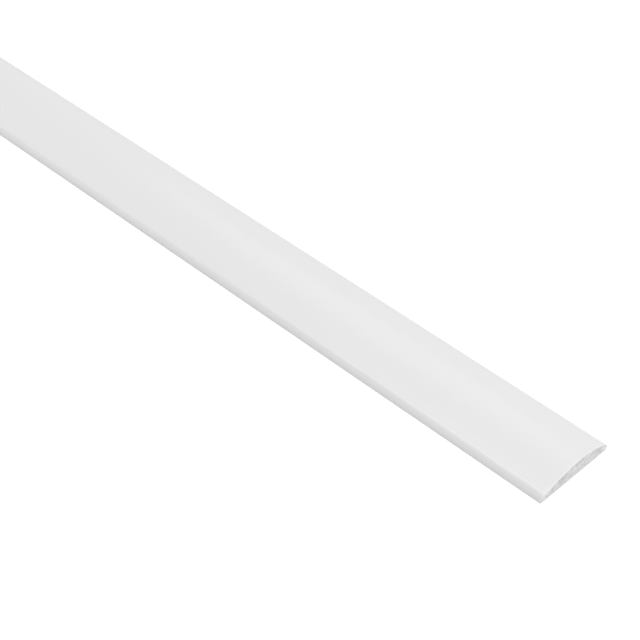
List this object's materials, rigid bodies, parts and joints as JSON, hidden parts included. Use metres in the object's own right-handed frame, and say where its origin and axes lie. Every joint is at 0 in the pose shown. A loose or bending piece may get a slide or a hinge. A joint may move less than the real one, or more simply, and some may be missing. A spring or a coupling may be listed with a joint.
{
  "type": "trim strip",
  "caption": "Straight flat trim strip of foamed plastic with a low crowned face, rounded shoulders, a flat back and square-sawn ends.",
  "frame": {"origin": "middle of the flat back, half way along the strip, on the surface it lies on", "axes": "+X along the strip, +Y across it, +Z out of the back towards the crowned face"},
  "size_m": [2.4, 0.03, 0.005],
  "materials": {
    "foamed_plastic": "satin white extruded skin; sawn ends show the fine closed cells of the foamed core"
  },
  "bodies": {
    "root": {"trim_strip": "foamed_plastic"}
  },
  "joints": []
}
